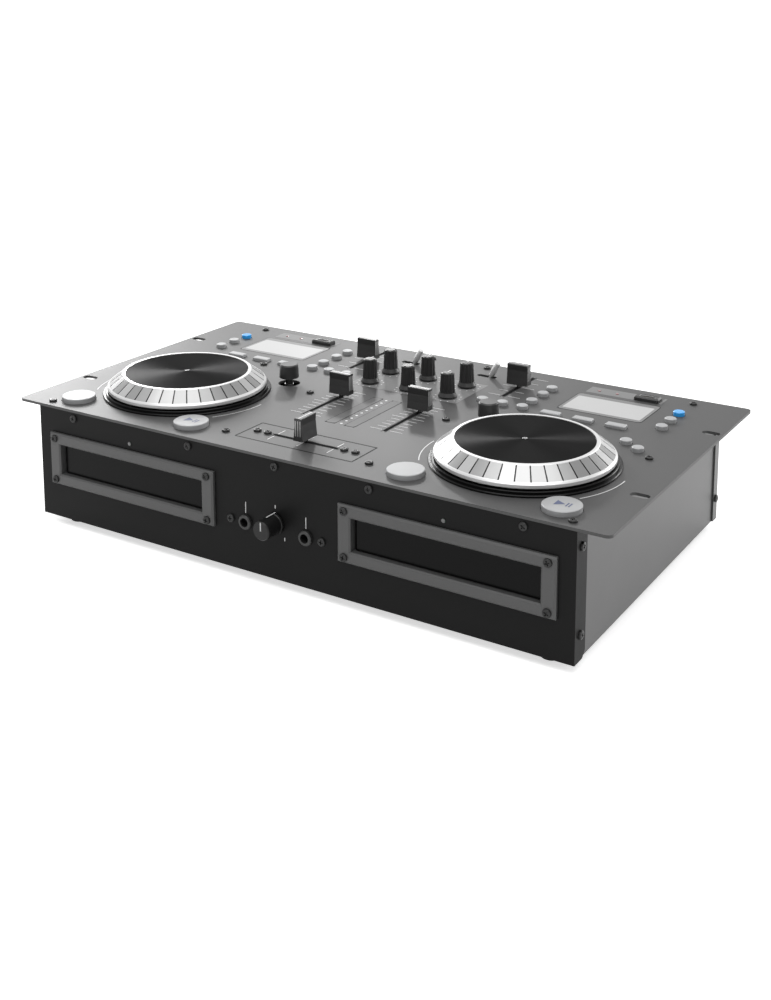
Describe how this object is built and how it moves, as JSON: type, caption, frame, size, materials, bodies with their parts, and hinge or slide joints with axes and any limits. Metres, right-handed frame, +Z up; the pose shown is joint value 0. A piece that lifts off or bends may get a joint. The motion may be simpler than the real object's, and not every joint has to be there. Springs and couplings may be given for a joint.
{
  "type": "dj disc player",
  "caption": "Rack-width disc player and mixer desk with spinning jog wheels, sliding front disc trays, faders, tone knobs, source levers, sprung keys and a rear power rocker.",
  "frame": {"origin": "middle of the overall box, on the surface that the feet stand on", "axes": "+X to the user's right across the panel, +Y towards the rear sockets, +Z up out of the control panel"},
  "size_m": [0.4826, 0.2818, 0.1129],
  "materials": {
    "panel_paint": "satin powder coat",
    "front_paint": "satin powder coat",
    "case_paint": "satin powder coat",
    "foot_rubber": "matte",
    "screw_black": "blackened",
    "window_lens": "clear grey acrylic",
    "socket_plastic": "moulded",
    "plated_steel": "zinc plated",
    "board_laminate": "glass-fibre laminate",
    "bezel_plastic": "fine moulded texture",
    "rca_plated": "plated",
    "cap_plastic": "fine moulded texture",
    "gloss_black": "polished",
    "knob_rubber": "soft touch",
    "jog_silver": "silver painted",
    "spun_black": "black anodised, spun",
    "tray_black": "gloss door",
    "loader_plastic": "moulded",
    "lever_chrome": "polished",
    "button_silver": "silver painted",
    "button_blue": "translucent blue"
  },
  "bodies": {
    "case": {"top_panel": "panel_paint", "front_panel": "front_paint", "rear_panel": "case_paint", "chassis_pan": "case_paint", "rubber_feet": "foot_rubber", "case_screws": "screw_black", "jog_base_a": "gloss_black", "jog_base_b": "gloss_black", "display_windows": "window_lens", "usb_sockets": "socket_plastic", "fader_tracks": "plated_steel", "potentiometers": "plated_steel", "control_boards": "board_laminate", "tray_bezels": "bezel_plastic", "front_jacks": "socket_plastic", "loader_frame_a": "loader_plastic", "loader_frame_b": "loader_plastic", "rca_sockets": "rca_plated", "mains_inlet": "socket_plastic", "power_supply": "board_laminate"},
    "jog_a": {"jog_wheel_a": "jog_silver", "jog_plate_a": "spun_black"},
    "jog_b": {"jog_wheel_b": "jog_silver", "jog_plate_b": "spun_black"},
    "tray_a": {"disc_tray_a": "tray_black"},
    "tray_b": {"disc_tray_b": "tray_black"},
    "channel_fader_a": {"channel_fader_a": "cap_plastic"},
    "channel_fader_b": {"channel_fader_b": "cap_plastic"},
    "crossfader": {"crossfader": "cap_plastic"},
    "pitch_fader_a": {"pitch_fader_a": "cap_plastic"},
    "pitch_fader_b": {"pitch_fader_b": "cap_plastic"},
    "source_lever_a": {"source_lever_a": "lever_chrome"},
    "source_lever_b": {"source_lever_b": "lever_chrome"},
    "power_rocker": {"power_rocker": "gloss_black"},
    "cue_mix_knob": {"cue_mix_knob": "knob_rubber"},
    "cue_button_a": {"cue_button_a": "button_silver"},
    "play_button_a": {"play_button_a": "button_silver"},
    "cue_button_b": {"cue_button_b": "button_silver"},
    "play_button_b": {"play_button_b": "button_silver"},
    "spindle_a": {"spindle_a": "loader_plastic"},
    "spindle_b": {"spindle_b": "loader_plastic"},
    "mixer_knob_front_left": {"mixer_knob_front_left": "knob_rubber"},
    "mixer_knob_front_middle": {"mixer_knob_front_middle": "knob_rubber"},
    "mixer_knob_front_right": {"mixer_knob_front_right": "knob_rubber"},
    "mixer_knob_back_left": {"mixer_knob_back_left": "knob_rubber"},
    "mixer_knob_back_middle": {"mixer_knob_back_middle": "knob_rubber"},
    "mixer_knob_back_right": {"mixer_knob_back_right": "knob_rubber"},
    "browse_knob_a": {"browse_knob_a": "knob_rubber"},
    "browse_knob_b": {"browse_knob_b": "knob_rubber"},
    "track_key_a_1": {"track_key_a_1": "button_silver"},
    "track_key_a_2": {"track_key_a_2": "button_silver"},
    "track_key_a_3": {"track_key_a_3": "button_silver"},
    "track_key_b_1": {"track_key_b_1": "button_silver"},
    "track_key_b_2": {"track_key_b_2": "button_silver"},
    "track_key_b_3": {"track_key_b_3": "button_silver"},
    "eject_button_a": {"eject_button_a": "button_blue"},
    "eject_button_b": {"eject_button_b": "button_blue"},
    "small_keys_a": {"small_keys_a": "button_silver"},
    "small_keys_b": {"small_keys_b": "button_silver"}
  },
  "joints": [
    {"name": "jog_a_spin", "type": "hinge", "parent": "case", "child": "jog_a", "pos_m": [-0.1452, -0.04255, 0.1], "axis": [0, 0, 1], "continuous": true},
    {"name": "jog_b_spin", "type": "hinge", "parent": "case", "child": "jog_b", "pos_m": [0.1452, -0.04255, 0.1], "axis": [0, 0, 1], "continuous": true},
    {"name": "tray_a_slide", "type": "slide", "parent": "case", "child": "tray_a", "axis": [0, -1, 0], "range_m": [0, 0.137]},
    {"name": "tray_b_slide", "type": "slide", "parent": "case", "child": "tray_b", "axis": [0, -1, 0], "range_m": [0, 0.137]},
    {"name": "channel_fader_a_slide", "type": "slide", "parent": "case", "child": "channel_fader_a", "axis": [0, 1, 0], "range_m": [-0.0467, 0.0133]},
    {"name": "channel_fader_b_slide", "type": "slide", "parent": "case", "child": "channel_fader_b", "axis": [0, 1, 0], "range_m": [-0.0467, 0.0133]},
    {"name": "crossfader_slide", "type": "slide", "parent": "case", "child": "crossfader", "axis": [1, 0, 0], "range_m": [-0.025, 0.025]},
    {"name": "pitch_fader_a_slide", "type": "slide", "parent": "case", "child": "pitch_fader_a", "axis": [0, 1, 0], "range_m": [-0.025, 0.025]},
    {"name": "pitch_fader_b_slide", "type": "slide", "parent": "case", "child": "pitch_fader_b", "axis": [0, 1, 0], "range_m": [-0.025, 0.025]},
    {"name": "source_lever_a_throw", "type": "hinge", "parent": "case", "child": "source_lever_a", "pos_m": [-0.0356, 0.11055, 0.087], "axis": [0, 1, 0], "range_deg": [-57, 0]},
    {"name": "source_lever_b_throw", "type": "hinge", "parent": "case", "child": "source_lever_b", "pos_m": [0.0356, 0.11055, 0.087], "axis": [0, 1, 0], "range_deg": [-57, 0]},
    {"name": "power_rocker_tilt", "type": "hinge", "parent": "case", "child": "power_rocker", "pos_m": [0.134, 0.13155, 0.047], "axis": [0, 0, 1], "range_deg": [0, 16]},
    {"name": "cue_mix_turn", "type": "hinge", "parent": "case", "child": "cue_mix_knob", "pos_m": [0, -0.13295, 0.0465], "axis": [0, -1, 0], "range_deg": [-150, 150]},
    {"name": "cue_button_a_press", "type": "slide", "parent": "case", "child": "cue_button_a", "axis": [0, 0, -1], "range_m": [0, 0.0012], "stiffness_N_per_m": 800, "springref_m": -0.001},
    {"name": "play_button_a_press", "type": "slide", "parent": "case", "child": "play_button_a", "axis": [0, 0, -1], "range_m": [0, 0.0012], "stiffness_N_per_m": 800, "springref_m": -0.001},
    {"name": "cue_button_b_press", "type": "slide", "parent": "case", "child": "cue_button_b", "axis": [0, 0, -1], "range_m": [0, 0.0012], "stiffness_N_per_m": 800, "springref_m": -0.001},
    {"name": "play_button_b_press", "type": "slide", "parent": "case", "child": "play_button_b", "axis": [0, 0, -1], "range_m": [0, 0.0012], "stiffness_N_per_m": 800, "springref_m": -0.001},
    {"name": "spindle_a_spin", "type": "hinge", "parent": "case", "child": "spindle_a", "pos_m": [-0.1301, -0.05295, 0.041], "axis": [0, 0, 1], "continuous": true},
    {"name": "spindle_b_spin", "type": "hinge", "parent": "case", "child": "spindle_b", "pos_m": [0.1301, -0.05295, 0.041], "axis": [0, 0, 1], "continuous": true},
    {"name": "mixer_knob_front_left_turn", "type": "hinge", "parent": "case", "child": "mixer_knob_front_left", "pos_m": [-0.035, 0.04745, 0.101], "axis": [0, 0, 1], "range_deg": [-150, 150]},
    {"name": "mixer_knob_front_middle_turn", "type": "hinge", "parent": "case", "child": "mixer_knob_front_middle", "pos_m": [0, 0.04745, 0.101], "axis": [0, 0, 1], "range_deg": [-150, 150]},
    {"name": "mixer_knob_front_right_turn", "type": "hinge", "parent": "case", "child": "mixer_knob_front_right", "pos_m": [0.035, 0.04745, 0.101], "axis": [0, 0, 1], "range_deg": [-150, 150]},
    {"name": "mixer_knob_back_left_turn", "type": "hinge", "parent": "case", "child": "mixer_knob_back_left", "pos_m": [-0.035, 0.07785, 0.101], "axis": [0, 0, 1], "range_deg": [-150, 150]},
    {"name": "mixer_knob_back_middle_turn", "type": "hinge", "parent": "case", "child": "mixer_knob_back_middle", "pos_m": [0, 0.07785, 0.101], "axis": [0, 0, 1], "range_deg": [-150, 150]},
    {"name": "mixer_knob_back_right_turn", "type": "hinge", "parent": "case", "child": "mixer_knob_back_right", "pos_m": [0.035, 0.07785, 0.101], "axis": [0, 0, 1], "range_deg": [-150, 150]},
    {"name": "browse_knob_a_turn", "type": "hinge", "parent": "case", "child": "browse_knob_a", "pos_m": [-0.0886, 0.01285, 0.101], "axis": [0, 0, 1], "continuous": true},
    {"name": "browse_knob_b_turn", "type": "hinge", "parent": "case", "child": "browse_knob_b", "pos_m": [0.0886, 0.01285, 0.101], "axis": [0, 0, 1], "continuous": true},
    {"name": "track_key_a_1_press", "type": "slide", "parent": "case", "child": "track_key_a_1", "axis": [0, 0, -1], "range_m": [0, 0.0005], "stiffness_N_per_m": 800, "springref_m": -0.001},
    {"name": "track_key_a_2_press", "type": "slide", "parent": "case", "child": "track_key_a_2", "axis": [0, 0, -1], "range_m": [0, 0.0005], "stiffness_N_per_m": 800, "springref_m": -0.001},
    {"name": "track_key_a_3_press", "type": "slide", "parent": "case", "child": "track_key_a_3", "axis": [0, 0, -1], "range_m": [0, 0.0005], "stiffness_N_per_m": 800, "springref_m": -0.001},
    {"name": "track_key_b_1_press", "type": "slide", "parent": "case", "child": "track_key_b_1", "axis": [0, 0, -1], "range_m": [0, 0.0005], "stiffness_N_per_m": 800, "springref_m": -0.001},
    {"name": "track_key_b_2_press", "type": "slide", "parent": "case", "child": "track_key_b_2", "axis": [0, 0, -1], "range_m": [0, 0.0005], "stiffness_N_per_m": 800, "springref_m": -0.001},
    {"name": "track_key_b_3_press", "type": "slide", "parent": "case", "child": "track_key_b_3", "axis": [0, 0, -1], "range_m": [0, 0.0005], "stiffness_N_per_m": 800, "springref_m": -0.001},
    {"name": "eject_button_a_press", "type": "slide", "parent": "case", "child": "eject_button_a", "axis": [0, 0, -1], "range_m": [0, 0.0005], "stiffness_N_per_m": 800, "springref_m": -0.001},
    {"name": "eject_button_b_press", "type": "slide", "parent": "case", "child": "eject_button_b", "axis": [0, 0, -1], "range_m": [0, 0.0005], "stiffness_N_per_m": 800, "springref_m": -0.001},
    {"name": "small_keys_a_press", "type": "slide", "parent": "case", "child": "small_keys_a", "axis": [0, 0, -1], "range_m": [0, 0.0005], "stiffness_N_per_m": 2400, "springref_m": -0.001},
    {"name": "small_keys_b_press", "type": "slide", "parent": "case", "child": "small_keys_b", "axis": [0, 0, -1], "range_m": [0, 0.0005], "stiffness_N_per_m": 2400, "springref_m": -0.001}
  ]
}
